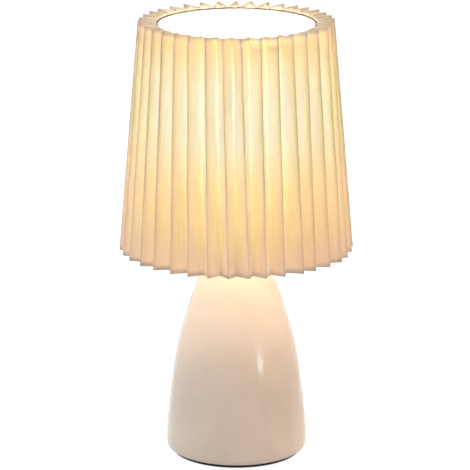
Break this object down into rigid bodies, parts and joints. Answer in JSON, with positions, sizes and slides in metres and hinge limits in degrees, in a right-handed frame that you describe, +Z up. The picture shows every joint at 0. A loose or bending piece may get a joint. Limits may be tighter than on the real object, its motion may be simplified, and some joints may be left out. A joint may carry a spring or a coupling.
{
  "type": "bedside lamp",
  "caption": "Bedside lamp: a pleated translucent cloth shade, open above and below, on a glossy bullet-shaped ceramic base with a foam foot, a lampholder and an LED bulb.",
  "frame": {"origin": "centre of the foot pad's underside, on the surface that the lamp stands on", "axes": "+Z up along the lamp's axis, -Y to the front, +Y to the cord inlet"},
  "size_m": [0.1594, 0.1594, 0.3024],
  "materials": {
    "glazed_ceramic": "glossy cream-white glaze",
    "black_foam": "matt closed-cell foam",
    "soft_rubber": "matt moulded rubber",
    "zinc_steel": "bright zinc plate",
    "holder_plastic": "satin white thermoplastic",
    "holder_core": "matt unglazed porcelain",
    "contact_brass": "bright rolled brass",
    "pleated_cloth": "translucent woven cloth, heat-set pleats",
    "bronze_wire": "dark bronze lacquer",
    "opal_diffuser": "frosted opal",
    "stem_glass": "clear drawn glass",
    "cap_metal": "rolled and nickel bright",
    "cap_glass": "black vitreous insulator",
    "lead_nickel": "drawn nickel",
    "led_phosphor": "yellow phosphor",
    "board_green": "green solder mask"
  },
  "bodies": {
    "base": {"foot_pad": "black_foam", "ceramic_body": "glazed_ceramic", "cord_grommet": "soft_rubber", "threaded_nipple": "zinc_steel", "nipple_nut": "zinc_steel", "steel_washer": "zinc_steel", "rubber_washer": "soft_rubber", "neck_gasket": "soft_rubber", "holder_cap": "holder_plastic", "holder_grub_screw": "zinc_steel", "holder_insert": "holder_core", "terminal_screws": "contact_brass", "centre_contact": "contact_brass", "screw_shell": "contact_brass", "holder_barrel": "holder_plastic"},
    "shade": {"pleated_shade": "pleated_cloth", "shade_top_ring": "bronze_wire", "shade_bottom_ring": "bronze_wire", "fitter_arms": "bronze_wire", "fitter_ring": "bronze_wire"},
    "ring": {"retaining_ring": "holder_plastic"},
    "bulb": {"bulb_globe": "opal_diffuser", "glass_stem": "stem_glass", "filament_wires": "lead_nickel", "led_filaments": "led_phosphor"},
    "cap": {"bulb_cap": "cap_metal", "cap_insulator": "cap_glass", "cap_contact": "cap_metal", "driver_board": "board_green"}
  },
  "joints": [
    {"name": "shade_turn", "type": "hinge", "parent": "base", "child": "shade", "pos_m": [0, 0, 0.1603], "axis": [0, 0, 1], "continuous": true},
    {"name": "ring_rise", "type": "slide", "parent": "base", "child": "ring", "axis": [0, 0, 1], "range_m": [0, 0.022]},
    {"name": "bulb_rise", "type": "slide", "parent": "base", "child": "bulb", "axis": [0, 0, 1], "range_m": [0, 0.01814]},
    {"name": "bulb_turn", "type": "hinge", "parent": "bulb", "child": "cap", "pos_m": [0, 0, 0.18], "axis": [0, 0, 1], "range_deg": [0, 1800]}
  ],
  "couplings": [
    {"joint": "bulb_turn", "follows": "bulb_rise", "rad_per_m": 1731.4}
  ]
}
